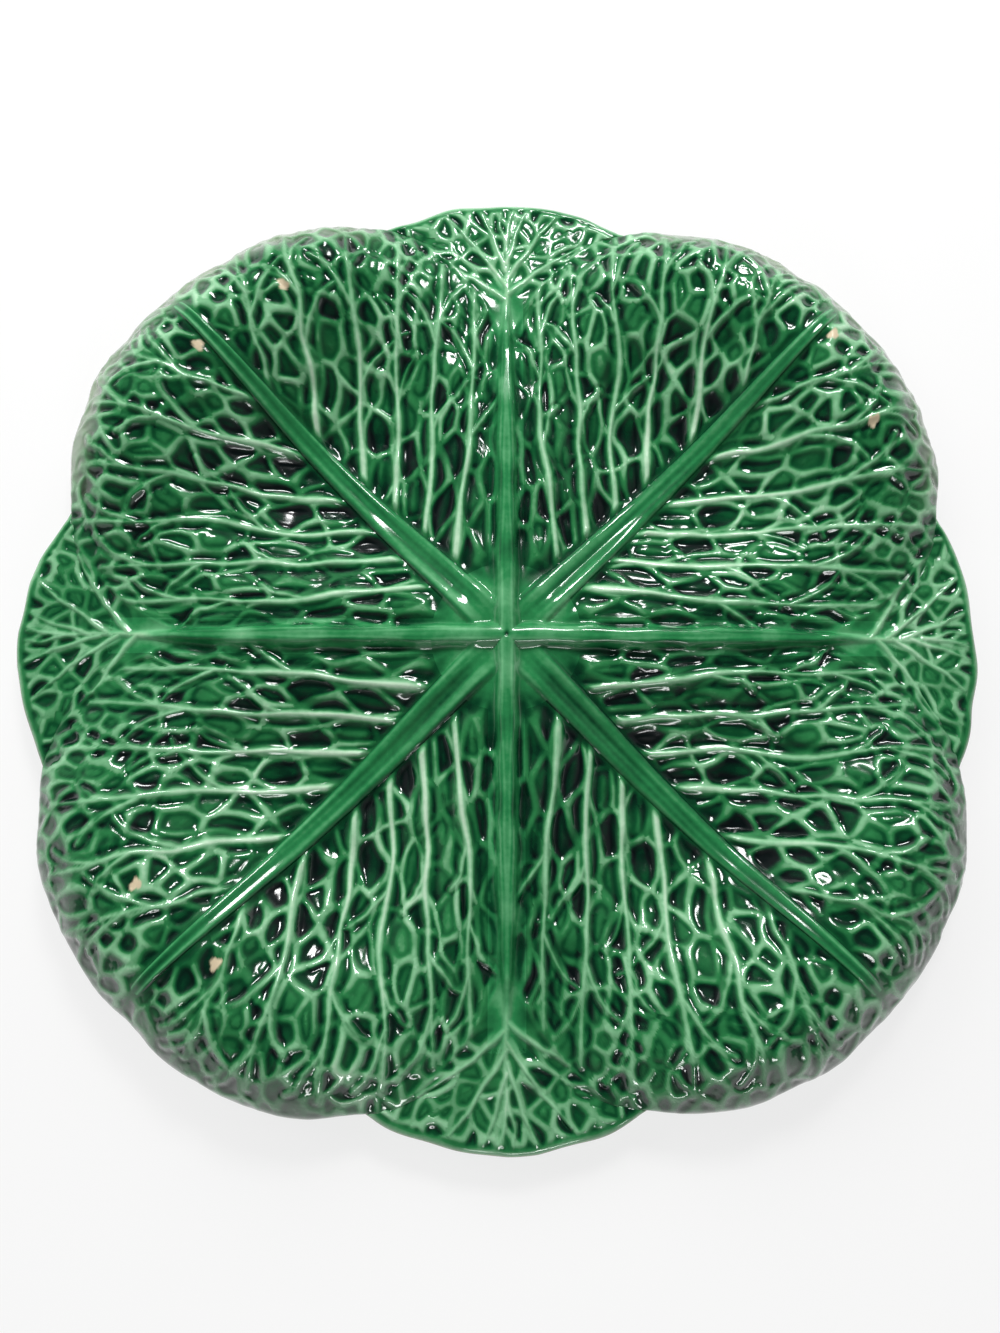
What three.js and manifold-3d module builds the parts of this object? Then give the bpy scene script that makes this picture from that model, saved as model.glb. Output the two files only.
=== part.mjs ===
// A round serving dish of glazed earthenware, divided into four wells.
// Each well is a cabbage leaf whose edge stands up and rolls outward.
// Four raised stems part the wells, and each stem ends in a low leaf tip that forms a lip in the rim.
// Millimetres, +Z up. The dish stands on z = 0 and its middle is the z axis.
import * as THREE from "three";
import Module from "manifold-3d";

const wasm = await Module();
wasm.setup();

// Plan of a leaf, measured from the middle of the dish
const LEAF_REACH = 170.8; // to the leaf's outer edge, along its midrib
const LEAF_SHOULDER = 48; // how much less the leaf reaches beside a divider
const LEAF_ROUNDNESS = 2.6; // the power at which its edge draws in

// Plan of a lip
const LIP_LENGTH = 38.9; // to the tip, from where two leaves' edges would meet on the divider
const LIP_RADIUS = 84; // of the lip's round edge
const LIP_CORNER = 2.5; // width left where a lip runs out against a leaf

// Stems
const BOSS_RADIUS = 25;
const BOSS_RISE = 1.2; // crown of the boss above the stems that meet in it
const DIVIDER_WIDTH = 12;
const DIVIDER_RISE = 3.2; // crown of a divider above its sides
const DIVIDER_TIP_RISE = 1.2; // the same where it runs out in its lip
const DIVIDER_FADE = 45; // length over which the crown comes down
const MIDRIB_WIDTH = 14;
const MIDRIB_TIP_WIDTH = 4;
const MIDRIB_RISE = 2;
const MIDRIB_TIP_RISE = 0.9;
const MIDRIB_EDGE = 0.5; // thickness of a midrib along its two edges
const MIDRIB_END_INSET = 12; // from the leaf's outer edge to the midrib's tip

// Side veins, which leave a midrib on both sides and run to the leaf's edge
const SIDE_VEIN_STARTS = [0.19, 0.275, 0.36, 0.45, 0.58]; // along the midrib, as shares of the leaf's reach
const SIDE_VEIN_ENDS = [40, 35.5, 30, 23.5, 16]; // degrees off the midrib, at the leaf's edge
const SIDE_VEIN_LEAVING = 52; // degrees off the midrib at which the first one leaves it
const SIDE_VEIN_TURN = 3; // degrees by which each later one leaves less
const SIDE_VEIN_WIDTH = 4;
const SIDE_VEIN_RISE = 0.95;
const SIDE_VEIN_SINK = 0.7; // of its feet, under the leaf's surface
const SIDE_VEIN_TIP = 0.6; // share of its width and rise that a side vein keeps at its tip
const SIDE_VEIN_END_INSET = 8; // from the leaf's outer edge to a side vein's tip

// Heights of the upper surface above the table
const FLOOR_HEIGHT = 5.2; // the lowest of each well
const SADDLE_HEIGHT = 14; // sides of the dividers at the middle
const EDGE_HEIGHT = 12; // rim's outer edge and lips
const CREST_HEIGHT = 28; // highest line of the leaves' edges

// Runs of the slopes, in plan
const CREST_INSET = 22; // from the leaf's outer edge in to its crest
const CREST_FALL = 60; // from the crest in to where the wall has come down
const WELL_RUN = 75; // from the crest in to the full depth of the well
const DIVIDER_FLANK = 40; // from a divider's side to the full depth of the well
const CREST_GROWTH = 75; // from a divider's side to where the crest has its full height
const RIM_BAND = 34; // from the leaf's outer edge in to where its rim meets its well

// Body
const WALL = 6; // thickness of the clay, square to the surface
const STEEPEST = 1.7; // most that a slope lengthens the upright thickness
const EDGE_ROUND = 0.37 * WALL; // how far the free outer edges are rounded off, above and below
const JOINT_GAP = 0.3; // between neighbouring pieces
const SETTLING_PASSES = 40; // of the searches for angles and radii

// Fineness of the meshes
const WELL_ROWS = 12;
const RIM_ROWS = 8;
const LIP_ROWS = 6;
const DIVIDER_ROWS = 13;
const DIVIDER_COLUMNS = 4;
const BOSS_RINGS = 4;
const BOSS_SECTORS = 32;
const LEAF_COLUMNS = 5; // from a midrib's edge to the end of the lip
const FLANK_COLUMNS = 4; // from the end of the lip to the divider
const SIDE_VEIN_STEPS = 5;

const EIGHTH = Math.PI / 4;
const HALF_DIVIDER = DIVIDER_WIDTH / 2;
const LIP_REACH = LEAF_REACH - LEAF_SHOULDER + LIP_LENGTH; // from the middle to a lip's tip
const SIDES = ["east", "north", "west", "south"];
const CORNERS = ["northeast", "northwest", "southwest", "southeast"];

const leafGlaze = () => new THREE.MeshStandardMaterial({ color: 0x2f7f4d, roughness: 0.14, metalness: 0 });
const stemGlaze = () => new THREE.MeshStandardMaterial({ color: 0x62a878, roughness: 0.18, metalness: 0 });

const clamp01 = (t) => Math.min(1, Math.max(0, t));
const mix = (a, b, t) => a + (b - a) * t;

function smooth(t) {
  const c = clamp01(t);
  return c * c * (3 - 2 * c);
}

// Radius of a leaf's outer edge at an angle off its midrib.
function leafEdge(angle) {
  return LEAF_REACH - LEAF_SHOULDER * (Math.abs(angle) / EIGHTH) ** LEAF_ROUNDNESS;
}

// Radius of a lip's round edge at an angle off its divider.
function lipEdge(angle) {
  const centre = LIP_REACH - LIP_RADIUS;
  const across = centre * Math.sin(angle);
  return centre * Math.cos(angle) + Math.sqrt(LIP_RADIUS ** 2 - across ** 2);
}

// Height of the dividers' sides and of the lips: it sinks a little from the middle to the rim.
function saddle(radius) {
  return mix(SADDLE_HEIGHT, EDGE_HEIGHT, smooth(radius / LIP_REACH));
}

// Share of the crest's height at a distance in from the leaf's edge: a roll outside, a slope inside.
function crestShare(inset) {
  if (inset < CREST_INSET) return 1 - (1 - Math.max(0, inset) / CREST_INSET) ** 2;
  return (1 + Math.cos(Math.PI * clamp01((inset - CREST_INSET) / CREST_FALL))) / 2;
}

// Upper surface of a leaf, without its midrib.
function leafTop(radius, angle) {
  const inset = leafEdge(angle) - radius;
  const beside = radius * Math.sin(EIGHTH - Math.abs(angle)) - HALF_DIVIDER;
  const depth = smooth(beside / DIVIDER_FLANK) * smooth((inset - CREST_INSET) / WELL_RUN);
  const crest = smooth(beside / CREST_GROWTH) * crestShare(inset);
  return mix(saddle(radius), FLOOR_HEIGHT, depth) + (CREST_HEIGHT - EDGE_HEIGHT) * crest;
}

// Underside of a leaf: the wall's thickness below, measured square to the slope inside the crest.
function leafBottom(radius, angle) {
  const step = 1;
  const top = leafTop(radius, angle);
  const outward = (leafTop(radius + step, angle) - leafTop(radius - step, angle)) / (2 * step);
  const turn = step / radius;
  const sideward = (leafTop(radius, angle + turn) - leafTop(radius, angle - turn)) / (2 * step);
  const slope = Math.min(STEEPEST, Math.hypot(1, outward, sideward));
  const inside = smooth((leafEdge(angle) - radius) / CREST_INSET);
  return Math.max(0, top - WALL * mix(1, slope, inside));
}

function dividerTop(radius, across) {
  const fade = smooth((radius - (leafEdge(EIGHTH) - DIVIDER_FADE)) / DIVIDER_FADE);
  const crown = 1 - (across / HALF_DIVIDER) ** 2;
  return saddle(radius) + mix(DIVIDER_RISE, DIVIDER_TIP_RISE, fade) * crown;
}

function midribWidth(radius) {
  return mix(MIDRIB_WIDTH, MIDRIB_TIP_WIDTH, clamp01(radius / (LEAF_REACH - MIDRIB_END_INSET)));
}

function midribRise(radius) {
  return mix(MIDRIB_RISE, MIDRIB_TIP_RISE, clamp01(radius / (LEAF_REACH - MIDRIB_END_INSET)));
}

// Upper surface near the middle, where dividers and midribs run together.
function bossTop(radius, angle) {
  const quarterTurn = Math.PI / 2;
  const offDivider = Math.abs(((angle % quarterTurn) + quarterTurn) % quarterTurn);
  const nearest = Math.min(offDivider, quarterTurn - offDivider);
  const across = radius * Math.sin(nearest);
  const crown = BOSS_RISE * (1 - (radius / BOSS_RADIUS) ** 2);
  if (across < HALF_DIVIDER) return dividerTop(radius, across) + crown;
  const offMidrib = EIGHTH - nearest;
  const ribShare = clamp01((radius * offMidrib) / (midribWidth(radius) / 2));
  return leafTop(radius, offMidrib) + midribRise(radius) * (1 - ribShare ** 2) + crown;
}

// A closed solid between an upper and a lower surface over a grid of points.
// Rows run outward and columns run anticlockwise; place(row, column) gives x, y, top and bottom.
function slab(rows, columns, place) {
  const wide = columns + 1;
  const count = (rows + 1) * wide;
  const positions = new Float32Array(count * 6);
  for (let row = 0; row <= rows; row++) {
    for (let column = 0; column <= columns; column++) {
      const { x, y, top, bottom } = place(row, column);
      const n = row * wide + column;
      positions.set([x, y, top], n * 3);
      positions.set([x, y, bottom], (count + n) * 3);
    }
  }
  const index = [];
  const quad = (a, b, c, d) => index.push(a, b, c, a, c, d);
  for (let row = 0; row < rows; row++) {
    for (let column = 0; column < columns; column++) {
      const a = row * wide + column;
      quad(a, a + wide, a + wide + 1, a + 1);
      quad(count + a, count + a + 1, count + a + wide + 1, count + a + wide);
    }
  }
  const wall = (a, b) => quad(a, count + a, count + b, b);
  for (let row = 0; row < rows; row++) {
    wall(row * wide, (row + 1) * wide);
    wall((row + 1) * wide + columns, row * wide + columns);
  }
  for (let column = 0; column < columns; column++) {
    wall(column + 1, column);
    wall(rows * wide + column, rows * wide + column + 1);
  }
  return geometryOf(positions, index);
}

function geometryOf(positions, index) {
  const geometry = new THREE.BufferGeometry();
  geometry.setAttribute("position", new THREE.BufferAttribute(positions, 3));
  geometry.setIndex(index);
  geometry.computeVertexNormals();
  return geometry;
}

const polar = (radius, angle) => ({ x: radius * Math.cos(angle), y: radius * Math.sin(angle) });

// Angle off the midrib at which the lip beside a leaf has run out to its corner width.
function notchAngle() {
  let inner = 0;
  let outer = EIGHTH;
  for (let pass = 0; pass < SETTLING_PASSES; pass++) {
    const angle = (inner + outer) / 2;
    const lipShows = lipEdge(EIGHTH - angle) - leafEdge(angle) > LIP_CORNER;
    if (lipShows) outer = angle;
    else inner = angle;
  }
  return outer;
}

const COLUMNS = 1 + LEAF_COLUMNS + FLANK_COLUMNS;
const NOTCH_COLUMN = 1 + LEAF_COLUMNS;
const NOTCH_SHARE = notchAngle() / (EIGHTH - (HALF_DIVIDER + JOINT_GAP) / leafEdge(EIGHTH));

// Angle off the midrib of a leaf's grid column. Column 0 is the midrib's middle, 1 its edge,
// NOTCH_COLUMN runs to the end of the lip, and COLUMNS lies along the divider.
function columnAngle(column, radius) {
  const order = Math.abs(column);
  if (order === 0) return 0;
  const ribEdge = midribWidth(radius) / 2 / radius;
  const dividerSide = EIGHTH - Math.asin((HALF_DIVIDER + JOINT_GAP) / radius);
  const toNotch = ((order - 1) / LEAF_COLUMNS) * NOTCH_SHARE;
  const pastNotch = mix(NOTCH_SHARE, 1, (order - NOTCH_COLUMN) / FLANK_COLUMNS);
  const share = order <= NOTCH_COLUMN ? toNotch : pastNotch;
  return Math.sign(column) * mix(ribEdge, dividerSide, share);
}

// Radius at which a grid column meets the leaf's edge, or a line at an inset from that edge.
function columnEnd(column, inset) {
  let radius = LEAF_REACH - inset;
  for (let pass = 0; pass < SETTLING_PASSES; pass++) {
    radius = leafEdge(columnAngle(column, radius)) - inset;
  }
  return radius;
}

const WELL_START = BOSS_RADIUS + JOINT_GAP;
const wellRadius = (row, column) =>
  mix(WELL_START, columnEnd(column, RIM_BAND + JOINT_GAP), row / WELL_ROWS);

// The rim's last row but one lies where the rounding of its edge begins.
function rimRadius(row, column) {
  if (row === RIM_ROWS) return columnEnd(column, 0);
  return mix(columnEnd(column, RIM_BAND), columnEnd(column, EDGE_ROUND), row / (RIM_ROWS - 1));
}

// How far the rim's outermost row is rounded off: only where the edge is free of a lip.
function rimRounding(row, column) {
  return row === RIM_ROWS && Math.abs(column) < NOTCH_COLUMN ? EDGE_ROUND : 0;
}

// A well or a rim: a leaf's grid in the leaf's own frame, with its midrib along +X.
function leafPiece(rows, radiusAt, roundingAt) {
  return slab(rows, 2 * COLUMNS, (row, index) => {
    const column = index - COLUMNS;
    const radius = radiusAt(row, column);
    const angle = columnAngle(column, radius);
    const rounding = roundingAt(row, column);
    const top = leafTop(radius, angle) - rounding;
    const bottom = leafBottom(radius, angle) + rounding;
    return { ...polar(radius, angle), top, bottom };
  });
}

// Course of a side vein in plan, on the left (1) or right (-1) of the midrib.
function sideVeinCourse(number, side) {
  const start = SIDE_VEIN_STARTS[number] * LEAF_REACH;
  const clear = (midribWidth(start) + SIDE_VEIN_WIDTH) / 2 + JOINT_GAP;
  const root = new THREE.Vector2(start, side * clear);
  const endAngle = THREE.MathUtils.degToRad(SIDE_VEIN_ENDS[number]);
  const end = polar(leafEdge(endAngle) - SIDE_VEIN_END_INSET, side * endAngle);
  const tip = new THREE.Vector2(end.x, end.y);
  const leaving = THREE.MathUtils.degToRad(SIDE_VEIN_LEAVING - SIDE_VEIN_TURN * number);
  const pull = polar(root.distanceTo(tip) / 2, side * leaving);
  return new THREE.QuadraticBezierCurve(root, root.clone().add(pull), tip);
}

// Share of a side vein's course that lies on the well.
function shareOnWell(course) {
  let on = 0;
  let beyond = 1;
  while (beyond - on > 0.001) {
    const share = (on + beyond) / 2;
    const point = course.getPoint(share);
    const edge = leafEdge(Math.atan2(point.y, point.x));
    if (point.length() < edge - RIM_BAND - SIDE_VEIN_WIDTH) on = share;
    else beyond = share;
  }
  return on;
}

// The stretch of a side vein on the well: a ridge that runs out just before the rim. Its feet lie
// under the leaf's surface on both sides of its crest.
function sideVeinPiece(number, side) {
  const course = sideVeinCourse(number, side);
  const stretch = shareOnWell(course);
  const surfaceAt = (x, y) => leafTop(Math.hypot(x, y), Math.atan2(y, x));
  const positions = [];
  const index = [];
  for (let step = 0; step <= SIDE_VEIN_STEPS; step++) {
    const share = (stretch * step) / SIDE_VEIN_STEPS;
    const size = mix(1, SIDE_VEIN_TIP, share);
    const rise = step < SIDE_VEIN_STEPS ? SIDE_VEIN_RISE * size : -SIDE_VEIN_SINK / 2;
    const foot = (SIDE_VEIN_WIDTH * size * (SIDE_VEIN_RISE + SIDE_VEIN_SINK)) / SIDE_VEIN_RISE / 2;
    const { x, y } = course.getPoint(share);
    const along = course.getTangent(share);
    const left = { x: x - along.y * foot, y: y + along.x * foot };
    const right = { x: x + along.y * foot, y: y - along.x * foot };
    positions.push(left.x, left.y, surfaceAt(left.x, left.y) - SIDE_VEIN_SINK);
    positions.push(x, y, surfaceAt(x, y) - WALL / 2);
    positions.push(right.x, right.y, surfaceAt(right.x, right.y) - SIDE_VEIN_SINK);
    positions.push(x, y, surfaceAt(x, y) + rise);
  }
  for (let step = 0; step < SIDE_VEIN_STEPS; step++) {
    for (let corner = 0; corner < 4; corner++) {
      const a = 4 * step + corner;
      const b = 4 * step + ((corner + 1) % 4);
      index.push(a, b + 4, b, a, a + 4, b + 4);
    }
  }
  const last = 4 * SIDE_VEIN_STEPS;
  index.push(0, 1, 3, 1, 2, 3);
  index.push(last, last + 3, last + 1, last + 1, last + 3, last + 2);
  return geometryOf(new Float32Array(positions), index);
}

function solidOf(geometry) {
  const vertProperties = geometry.getAttribute("position").array;
  const triVerts = Uint32Array.from(geometry.getIndex().array);
  return new wasm.Manifold(new wasm.Mesh({ numProp: 3, vertProperties, triVerts }));
}

// A well with its side veins.
function veinedWell() {
  let well = solidOf(leafPiece(WELL_ROWS, wellRadius, () => 0));
  for (let number = 0; number < SIDE_VEIN_STARTS.length; number++) {
    well = well.add(solidOf(sideVeinPiece(number, 1)));
    well = well.add(solidOf(sideVeinPiece(number, -1)));
  }
  const { vertProperties, triVerts } = well.getMesh();
  return geometryOf(vertProperties, Array.from(triVerts));
}

// A midrib lies on its well and rim, a joint's gap above the facets between their columns -1, 0 and 1.
function midribPiece() {
  const rimRowLength = (RIM_BAND - EDGE_ROUND) / (RIM_ROWS - 1);
  const rimRowsUsed = Math.round((RIM_BAND - MIDRIB_END_INSET) / rimRowLength);
  const rowOf = (row, column) =>
    row <= WELL_ROWS ? wellRadius(row, column) : rimRadius(row - WELL_ROWS, column);
  return slab(WELL_ROWS + rimRowsUsed, 4, (row, index) => {
    const side = index < 2 ? -1 : 1;
    const share = Math.abs(index - 2) / 2;
    const middle = rowOf(row, 0);
    const edge = rowOf(row, side);
    const edgeAngle = columnAngle(side, edge);
    const rim = polar(edge, edgeAngle);
    const bottom = mix(leafTop(middle, 0), leafTop(edge, edgeAngle), share) + JOINT_GAP;
    const top = bottom + MIDRIB_EDGE + midribRise(middle) * (1 - share ** 2);
    return { x: mix(middle, rim.x, share), y: rim.y * share, top, bottom };
  });
}

// A divider, along +X from the boss to its lip.
function dividerPiece() {
  const start = BOSS_RADIUS + JOINT_GAP;
  const end = columnEnd(COLUMNS, 0);
  return slab(DIVIDER_ROWS, DIVIDER_COLUMNS, (row, column) => {
    const radius = mix(start, end, row / DIVIDER_ROWS);
    const across = mix(-HALF_DIVIDER, HALF_DIVIDER, column / DIVIDER_COLUMNS);
    const x = Math.sqrt(radius ** 2 - across ** 2);
    return { x, y: across, top: dividerTop(radius, across), bottom: saddle(radius) - WALL };
  });
}

// A lip, along +X: from the divider's end and the two leaves' flanks out to its round edge.
function lipPiece() {
  const flank = [];
  for (let column = NOTCH_COLUMN; column <= COLUMNS; column++) {
    const radius = columnEnd(column, 0);
    const gap = JOINT_GAP * Math.hypot(1, flankSlope(columnAngle(column, radius)));
    flank.push({ radius: radius + gap, angle: EIGHTH - columnAngle(column, radius) });
  }
  const root = { radius: columnEnd(COLUMNS, 0) + JOINT_GAP, angle: 0 };
  const mirrored = flank.map(({ radius, angle }) => ({ radius, angle: -angle }));
  const inner = [...mirrored, root, ...flank.toReversed()];
  return slab(LIP_ROWS, inner.length - 1, (row, column) => {
    const { radius: start, angle } = inner[column];
    const end = lipEdge(angle);
    const roundingStart = end - Math.min(EDGE_ROUND, (end - start) / 2);
    const radius = row === LIP_ROWS ? end : mix(start, roundingStart, row / (LIP_ROWS - 1));
    const rounding = row === LIP_ROWS ? EDGE_ROUND : 0;
    const across = clamp01(Math.abs(radius * Math.sin(angle)) / HALF_DIVIDER);
    const vein = DIVIDER_TIP_RISE * (1 - across ** 2) * (1 - row / LIP_ROWS);
    const top = saddle(radius) + vein - rounding;
    return { ...polar(radius, angle), top, bottom: saddle(radius) - WALL + rounding };
  });
}

// How steeply a leaf's edge draws in at an angle off its midrib, per unit of arc.
function flankSlope(angle) {
  const step = 0.001;
  return (leafEdge(angle + step) - leafEdge(angle)) / step / leafEdge(angle);
}

// The boss: rings of points about the middle, closed above and below by a fan.
function bossPiece() {
  const positions = [];
  const index = [];
  const add = (radius, angle, z) => {
    const { x, y } = polar(radius, angle);
    positions.push(x, y, z);
    return positions.length / 3 - 1;
  };
  const upper = [];
  const lower = [];
  for (let ring = 1; ring <= BOSS_RINGS; ring++) {
    const radius = (BOSS_RADIUS * ring) / BOSS_RINGS;
    for (let sector = 0; sector < BOSS_SECTORS; sector++) {
      const angle = (2 * Math.PI * sector) / BOSS_SECTORS;
      upper.push(add(radius, angle, bossTop(radius, angle)));
      lower.push(add(radius, angle, saddle(radius) - WALL));
    }
  }
  const upperMiddle = add(0, 0, bossTop(0, 0));
  const lowerMiddle = add(0, 0, saddle(0) - WALL);
  for (let sector = 0; sector < BOSS_SECTORS; sector++) {
    const next = (sector + 1) % BOSS_SECTORS;
    index.push(upperMiddle, upper[sector], upper[next]);
    index.push(lowerMiddle, lower[next], lower[sector]);
    for (let ring = 0; ring < BOSS_RINGS - 1; ring++) {
      const a = ring * BOSS_SECTORS + sector;
      const b = ring * BOSS_SECTORS + next;
      const c = b + BOSS_SECTORS;
      const d = a + BOSS_SECTORS;
      index.push(upper[a], upper[d], upper[c], upper[a], upper[c], upper[b]);
      index.push(lower[a], lower[c], lower[d], lower[a], lower[b], lower[c]);
    }
    const a = (BOSS_RINGS - 1) * BOSS_SECTORS + sector;
    const b = (BOSS_RINGS - 1) * BOSS_SECTORS + next;
    index.push(upper[a], lower[a], lower[b], upper[a], lower[b], upper[b]);
  }
  return geometryOf(new Float32Array(positions), index);
}

function named(name, geometry, material) {
  const mesh = new THREE.Mesh(geometry, material);
  mesh.name = name;
  return mesh;
}

const dish = new THREE.Group();
dish.add(named("middle_boss", bossPiece(), stemGlaze()));

SIDES.forEach((side, turn) => {
  const group = new THREE.Group();
  group.rotation.z = turn * 2 * EIGHTH;
  group.add(named(`divider_${side}`, dividerPiece(), stemGlaze()));
  group.add(named(`lip_${side}`, lipPiece(), leafGlaze()));
  dish.add(group);
});

CORNERS.forEach((corner, turn) => {
  const group = new THREE.Group();
  group.rotation.z = (2 * turn + 1) * EIGHTH;
  group.add(named(`well_${corner}`, veinedWell(), leafGlaze()));
  group.add(named(`rim_${corner}`, leafPiece(RIM_ROWS, rimRadius, rimRounding), leafGlaze()));
  group.add(named(`midrib_${corner}`, midribPiece(), stemGlaze()));
  dish.add(group);
});

export default dish;
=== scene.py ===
"""Looks for a divided serving dish of glazed earthenware: four cabbage leaves parted by stems.

Lengths are millimetres until a mesh is made, and each piece stands for the CAD node of its name.
A leaf's own frame has its midrib along +x, so one leaf is worked out once and turned four times.
The glaze's thickness is called its pool: 0 is thin and pale, and 1 is pooled and nearly black. On the
southern rims the pool also carries painted shade.
"""

import math

import bpy
import numpy as np
from mathutils import Matrix, Vector

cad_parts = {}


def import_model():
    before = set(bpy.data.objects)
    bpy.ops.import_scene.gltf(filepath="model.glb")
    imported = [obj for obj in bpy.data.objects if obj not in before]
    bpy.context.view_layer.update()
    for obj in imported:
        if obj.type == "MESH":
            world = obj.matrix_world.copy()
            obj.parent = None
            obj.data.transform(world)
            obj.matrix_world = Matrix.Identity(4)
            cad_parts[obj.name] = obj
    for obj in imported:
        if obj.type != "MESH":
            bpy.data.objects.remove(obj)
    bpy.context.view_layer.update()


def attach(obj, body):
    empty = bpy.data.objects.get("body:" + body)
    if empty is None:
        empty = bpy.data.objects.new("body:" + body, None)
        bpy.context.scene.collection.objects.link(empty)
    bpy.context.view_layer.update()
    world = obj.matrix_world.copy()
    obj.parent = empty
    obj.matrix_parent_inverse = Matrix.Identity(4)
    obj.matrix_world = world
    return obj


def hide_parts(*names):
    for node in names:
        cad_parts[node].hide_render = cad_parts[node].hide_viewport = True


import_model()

MM = 0.001
EIGHTH = math.pi / 4
CORNERS = ("northeast", "northwest", "southwest", "southeast")
SIDES = ("east", "north", "west", "south")

# Camera: a hand-held view from just south of straight above
CAMERA_PLACE = (-9.5, -70.6, 336.6)
CAMERA_LEAN = (1.3, 10.6)  # degrees off straight down, towards +x and +y
CAMERA_LENS = 27
SENSOR = 36

# The clay body, as in the CAD source
LEAF_REACH = 170.8
LEAF_SHOULDER = 48
LEAF_ROUNDNESS = 2.6
LIP_LENGTH = 38.9
LIP_RADIUS = 84
BOSS_RADIUS = 25
BOSS_RISE = 1.2
DIVIDER_WIDTH = 12
DIVIDER_RISE = 3.2
DIVIDER_TIP_RISE = 1.2
DIVIDER_FADE = 45
MIDRIB_WIDTH = 14
MIDRIB_TIP_WIDTH = 4
MIDRIB_RISE = 2.0
MIDRIB_TIP_RISE = 0.9
MIDRIB_END_INSET = 12
FLOOR_HEIGHT = 5.2
SADDLE_HEIGHT = 14
EDGE_HEIGHT = 12
CREST_HEIGHT = 28
CREST_INSET = 22
CREST_FALL = 60
WELL_RUN = 75
DIVIDER_FLANK = 40
CREST_GROWTH = 75
RIM_BAND = 34
WALL = 6
STEEPEST = 1.7
JOINT_GAP = 0.3
HALF_DIVIDER = DIVIDER_WIDTH / 2
LEAF_GAP = LEAF_REACH - LEAF_SHOULDER  # from the middle to where two leaves part
LIP_REACH = LEAF_GAP + LIP_LENGTH
MIDRIB_END = LEAF_REACH - MIDRIB_END_INSET

# Side veins, as in the CAD source, with one finer vein more on each side of a leaf's tip
SIDE_VEIN_STARTS = (0.19, 0.275, 0.36, 0.45, 0.58, 0.71)  # along the midrib, as shares of the leaf's reach
SIDE_VEIN_ENDS = (40, 35.5, 30, 23.5, 16, 8.5)  # degrees off the midrib, at the leaf's edge
SIDE_VEIN_LEAVING = 52  # degrees off the midrib at which the first one leaves it
SIDE_VEIN_TURN = 3  # degrees by which each later one leaves less
SIDE_VEIN_WIDTH = 4
SIDE_VEIN_HEIGHT = 0.95
SIDE_VEIN_TIP = 0.6  # share of its width and height that a side vein keeps at its tip
SIDE_VEIN_END_INSET = 8
SIDE_VEIN_STEPS = 32
SIDE_VEIN_WANDER = 2.0
SIDE_VEIN_HALF = 0.4 * SIDE_VEIN_WIDTH  # half the width that shows, because the foot is hidden
SIDE_VEIN_SWELL = 0.16
FINER_VEIN = 0.8  # size of the added one

# Twigs that fork from a side vein
TWIG_PLACES = (0.42, 0.66, 0.8)  # as shares of the vein's length
TWIG_TURN = (0.4, 0.75)  # least and most, in radians off the vein
TWIG_LENGTH = (12, 26)  # least and most
TWIG_SHORTENING = (1.15, 0.75)  # of that length, from the vein's root to its tip
TWIG_HALF_WIDTH = (1.05, 0.75)  # at root and tip
TWIG_HEIGHT = (0.72, 0.45)  # at root and tip, as shares of a side vein's
TWIG_STEPS = 10
TWIG_WANDER = 0.7

# Profile of every vein, across it in half widths
VEIN_FLANK = 1.4
VEIN_FOOT = 3
VEIN_FOOT_SHARE = 0.25  # of the height

# Net of fine veins between the side veins
NET_HEIGHT = 0.5
NET_HALF_WIDTH = 1.0
NET_SPACING = 6.2
SPUR_SPACING = 0.75  # of the spurs inside the net's cells, as a share of the net's own
SPUR_STRENGTH = 0.4
CELL_DEPTH = 0.55
PIT_FROM = 0.42  # a cell's drawn depth from which it is a pit and not a puff
PIT_RUN = 0.3
GRAIN_STRETCH = (1.8, 1.15, 2.3)  # of the cells near the middle, near the edge and beside a divider
LEAF_EVENNESS = 0.3  # how little the net fades in patches, where 1 is not at all

# Lips: low leaf tips with a fan of veins that starts where a divider ends
LIP_APEX = LEAF_GAP + 1
LIP_FAN = (  # where each vein starts past the apex, and its heading in degrees off the divider
    (-2, 58), (0, -54), (4, 38), (6, -35), (10, 21), (13, -20), (18, 8), (21, -11)
)
LIP_VEIN_HEIGHT = 0.85
LIP_VEIN_STEPS = 14
LIP_BORDER = 4  # smooth band along a lip's edge
LIP_NET_SPACING = 4.8
LIP_NET_STRETCH = 1.35
LIP_UNDERLAP = 1.2  # of a lip under its leaves

# Stems and edges
STEM_HALF_WIDTH = 3.5  # of a divider's rounded rib, near the middle
STEM_TIP_HALF_WIDTH = 1.5
GUTTER_DEPTH = 0.6  # of the dips beside midribs and stems
GUTTER_REACH = (2.9, 2.0)  # on a midrib's left and right
EDGE_ROUND = 2.6
SEAM_ROUND = 0.15  # of a rim's edge where a lip lies under it
RESTING_HEIGHT = 0.02  # clay lower than this stands on the table and is unglazed

# Thickness of the glaze
LEAF_POOL = 0.48
VEIN_POOL = 0.05
GUTTER_POOL = 0.97
HEM_POOL = 0.15
LIP_VEIN_POOL = 0.06
LIP_EDGE_POOL = 0.2
STEM_POOL = 0.55
MIDRIB_POOL = 0.58
PINHOLE_POOL = 0.9
UNDERSIDE_POOL = 0.55

# Bare spots left by the props in the kiln: place along the midrib and to its left
BARE_SPOTS = {
    "northeast": ((150, -6), (137, -36)),
    "northwest": ((141, 5), (137, -30)),
    "southwest": ((135, 11), (136, -23)),
    "southeast": (),
}
BARE_SPOT_RADIUS = 1.7

# How much painted sheen (a painted reflection of the bright room) and how much painted shade (added to the
# glaze's pool) each rim's outer slope gets
RIM_PAINTED_SHEEN = {"northeast": 1.5, "northwest": 1.8, "southwest": 0.25, "southeast": 0.3}
RIM_PAINTED_SHADE = {"northeast": 0.0, "northwest": 0.0, "southwest": 0.2, "southeast": 0.2}

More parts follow.
